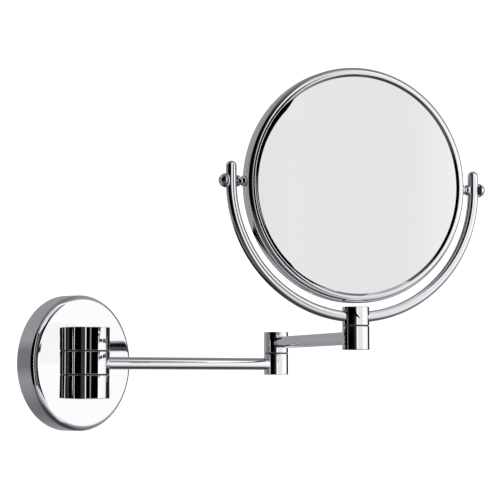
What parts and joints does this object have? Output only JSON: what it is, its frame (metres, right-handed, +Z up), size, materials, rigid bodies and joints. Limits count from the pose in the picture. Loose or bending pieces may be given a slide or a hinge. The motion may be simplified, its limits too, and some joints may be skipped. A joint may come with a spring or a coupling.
{
  "type": "wall shaving mirror",
  "caption": "Round tilting mirror in a yoke, carried by a folding jointed arm from a round wall plate; plain glass on one side, magnifying glass on the other.",
  "frame": {"origin": "centre of the wall plate's back face, on the wall, in the middle of the circle of fixing holes", "axes": "+Y into the wall, so the mirror stands out along -Y; +Z up; +X to the right of a person who faces the wall"},
  "size_m": [0.2619, 0.318, 0.3072],
  "materials": {
    "chrome": "bright chrome plate on brass and steel",
    "mirror_glass": "silvered float glass",
    "steel": "plain turned stainless steel",
    "nylon": "black nylon",
    "bracket": "zinc-plated pressed steel",
    "core": "moulded plastic spacer"
  },
  "bodies": {
    "wall_base": {"wall_bracket": "bracket", "cover_shell": "chrome", "cover_grub_screw": "steel", "hub_upper_barrel": "chrome", "hub_lower_barrel": "chrome", "hub_fixing_screws": "steel", "hub_upper_washer": "nylon", "hub_lower_washer": "nylon", "hub_pivot_pin": "steel", "hub_spring_washer": "steel", "hub_lock_nut": "steel", "hub_top_cap": "chrome", "hub_bottom_cap": "chrome"},
    "lower_arm": {"hub_middle_barrel": "chrome", "lower_arm_tube": "chrome", "elbow_lower_barrel": "chrome", "elbow_bottom_cap": "chrome", "elbow_washer": "nylon", "elbow_pin": "steel", "elbow_spring_washer": "steel", "elbow_lock_nut": "steel"},
    "upper_arm": {"elbow_upper_barrel": "chrome", "elbow_top_cap": "chrome", "upper_arm_tube": "chrome", "stem_barrel": "chrome", "stem_bottom_cap": "chrome", "swivel_washer": "nylon"},
    "yoke": {"yoke_socket": "chrome", "yoke_right_tube": "chrome", "yoke_left_tube": "chrome", "swivel_pin": "steel", "swivel_spring_washer": "steel"},
    "mirror_head": {"rim_band": "chrome", "front_bezel": "chrome", "rear_bezel": "chrome", "front_glass": "mirror_glass", "rear_glass": "mirror_glass", "core_ring": "core", "pivot_bosses": "steel", "pivot_spacers": "chrome", "pivot_washers": "nylon", "pivot_screws": "chrome"}
  },
  "joints": [
    {"name": "base_swing", "type": "hinge", "parent": "wall_base", "child": "lower_arm", "pos_m": [0, -0.0229, 0], "axis": [0, 0, 1], "range_deg": [-147.5, 3]},
    {"name": "elbow_fold", "type": "hinge", "parent": "lower_arm", "child": "upper_arm", "pos_m": [0.19053, -0.08371, 0], "axis": [0, 0, 1], "range_deg": [-46.9, 253.1]},
    {"name": "head_swivel", "type": "hinge", "parent": "upper_arm", "child": "yoke", "pos_m": [0.08812, -0.2555, 0], "axis": [0, 0, 1], "continuous": true},
    {"name": "mirror_tilt", "type": "hinge", "parent": "yoke", "child": "mirror_head", "pos_m": [0.08812, -0.2555, 0.1481], "axis": [0.8721, -0.4894, 0], "continuous": true}
  ]
}
